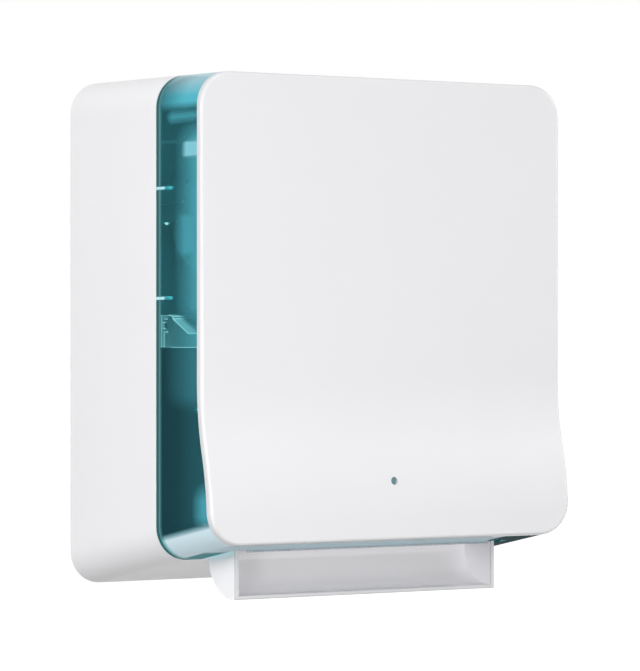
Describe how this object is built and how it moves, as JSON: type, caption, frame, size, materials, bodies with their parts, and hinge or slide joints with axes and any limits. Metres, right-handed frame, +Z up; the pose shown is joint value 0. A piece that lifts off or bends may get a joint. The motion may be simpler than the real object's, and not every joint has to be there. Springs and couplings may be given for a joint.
{
  "type": "sensor paper towel dispenser",
  "caption": "Wall-mounted sensor dispenser for roll towels: white casing, clear tinted hood with a swept front panel, sensor window and an open outlet scoop; the cover lifts on a top hinge.",
  "frame": {"origin": "centre of the four wall screw holes, on the back face that lies on the wall", "axes": "+Z up, the wall is the plane Y=0 and the front faces -Y, +X to the right seen from the front"},
  "size_m": [0.331, 0.2138, 0.3972],
  "materials": {
    "white_plastic": "satin moulded plastic",
    "tray_plastic": "polished moulded plastic",
    "teal_clear": "clear tinted plastic",
    "window_grey": "smoked plastic",
    "black_plastic": "fine matt",
    "dark_gear": "natural acetal",
    "zinc_steel": "zinc plated",
    "screw_steel": "zinc plated",
    "lock_chrome": "polished",
    "spring_steel": "drawn wire",
    "motor_can": "plated can",
    "bronze": "sintered",
    "contact_nickel": "nickel plated",
    "cell_jacket": "printed jacket, plain",
    "board_green": "solder mask",
    "component_black": "moulded",
    "sensor_dark": "clear dark resin",
    "grip_rubber": "moulded, ground",
    "core_plastic": "moulded",
    "button_blue": "moulded",
    "magnet_nickel": "nickel plated",
    "towel_paper": "embossed",
    "card_core": "wound card",
    "hub_plastic": "moulded"
  },
  "bodies": {
    "rear_unit": {"rear_casing": "white_plastic", "hinge_pins": "zinc_steel", "lock_barrel": "lock_chrome", "lock_nut": "zinc_steel", "frame_back": "black_plastic", "frame_screws": "screw_steel", "side_plate_left": "black_plastic", "side_plate_right": "black_plastic", "small_screws": "screw_steel", "front_beam": "black_plastic", "sensor_board": "board_green", "sensor_parts": "sensor_dark", "tear_bar": "zinc_steel", "outlet_tray": "tray_plastic", "drive_bushes": "bronze", "pressure_blocks": "hub_plastic", "pressure_springs": "spring_steel", "gear_motor": "motor_can", "gear_cover": "black_plastic", "idler_pin": "zinc_steel", "battery_box": "white_plastic", "lid_rod": "zinc_steel", "batteries": "cell_jacket", "battery_contacts": "contact_nickel", "electronics_cover": "white_plastic", "length_switch": "component_black", "circuit_board": "board_green", "board_parts": "component_black", "button_spring": "spring_steel", "roll_arm_left": "white_plastic", "arm_bracket": "zinc_steel", "arm_pin": "zinc_steel"},
    "cover": {"hood": "teal_clear", "front_panel": "white_plastic", "panel_screws": "screw_steel", "sensor_window": "window_grey", "hinge_arms": "white_plastic", "lock_strike": "zinc_steel", "cover_screws": "screw_steel", "cover_magnet": "magnet_nickel"},
    "lock_key_plug": {"lock_plug": "lock_chrome", "lock_cam": "zinc_steel"},
    "lid": {"battery_lid": "white_plastic"},
    "button": {"feed_button": "button_blue"},
    "slider": {"length_slider": "button_blue"},
    "swing_arm": {"roll_arm_right": "white_plastic", "arm_spring": "spring_steel"},
    "right_hub": {"hub_right": "hub_plastic"},
    "roll": {"paper_roll": "towel_paper", "roll_core": "card_core", "hub_left": "hub_plastic"},
    "drive_roller": {"drive_shaft": "zinc_steel", "drive_core": "core_plastic", "drive_sleeves": "grip_rubber", "drive_gear": "dark_gear"},
    "idler": {"idler_gear": "dark_gear"},
    "motor_output": {"motor_shaft": "zinc_steel", "pinion": "dark_gear"},
    "pressure_roller": {"pressure_shaft": "zinc_steel", "pressure_sleeves": "grip_rubber"}
  },
  "joints": [
    {"name": "cover_hinge", "type": "hinge", "parent": "rear_unit", "child": "cover", "pos_m": [0, -0.1182, 0.18711], "axis": [-1, 0, 0], "range_deg": [0, 95]},
    {"name": "lock_turn", "type": "hinge", "parent": "rear_unit", "child": "lock_key_plug", "pos_m": [0.147, -0.112, -0.128], "axis": [-1, 0, 0], "range_deg": [0, 90]},
    {"name": "lid_hinge", "type": "hinge", "parent": "rear_unit", "child": "lid", "pos_m": [-0.04875, -0.0675, 0.002], "axis": [-1, 0, 0], "range_deg": [0, 45]},
    {"name": "button_press", "type": "slide", "parent": "rear_unit", "child": "button", "axis": [0, 0, -1], "range_m": [0, 0.002], "stiffness_N_per_m": 400, "springref_m": -0.001, "deforming": ["button_spring"]},
    {"name": "length_slide", "type": "slide", "parent": "rear_unit", "child": "slider", "axis": [1, 0, 0], "range_m": [-0.004, 0.004]},
    {"name": "arm_swing", "type": "hinge", "parent": "rear_unit", "child": "swing_arm", "pos_m": [0.112, -0.014, 0.098], "axis": [0, 0, 1], "range_deg": [0, 20], "stiffness_Nm_per_rad": 0.4, "springref_deg": -20.05},
    {"name": "roll_spin", "type": "hinge", "parent": "rear_unit", "child": "roll", "pos_m": [0, -0.095, 0.098], "axis": [1, 0, 0], "continuous": true},
    {"name": "right_hub_spin", "type": "hinge", "parent": "swing_arm", "child": "right_hub", "pos_m": [0.106, -0.095, 0.098], "axis": [1, 0, 0], "continuous": true},
    {"name": "drive_spin", "type": "hinge", "parent": "rear_unit", "child": "drive_roller", "pos_m": [0, -0.144, -0.148], "axis": [1, 0, 0], "continuous": true},
    {"name": "idler_spin", "type": "hinge", "parent": "rear_unit", "child": "idler", "pos_m": [0.1275, -0.12465, -0.12494], "axis": [1, 0, 0], "continuous": true},
    {"name": "motor_spin", "type": "hinge", "parent": "rear_unit", "child": "motor_output", "pos_m": [0.1275, -0.10388, -0.11738], "axis": [1, 0, 0], "continuous": true},
    {"name": "pressure_spin", "type": "hinge", "parent": "rear_unit", "child": "pressure_roller", "pos_m": [0, -0.1673, -0.148], "axis": [1, 0, 0], "continuous": true}
  ],
  "couplings": [
    {"joint": "right_hub_spin", "follows": "roll_spin", "ratio": 1},
    {"joint": "idler_spin", "follows": "drive_spin", "ratio": -1.1429},
    {"joint": "motor_spin", "follows": "drive_spin", "ratio": 2},
    {"joint": "pressure_spin", "follows": "drive_spin", "ratio": -1.5556}
  ]
}
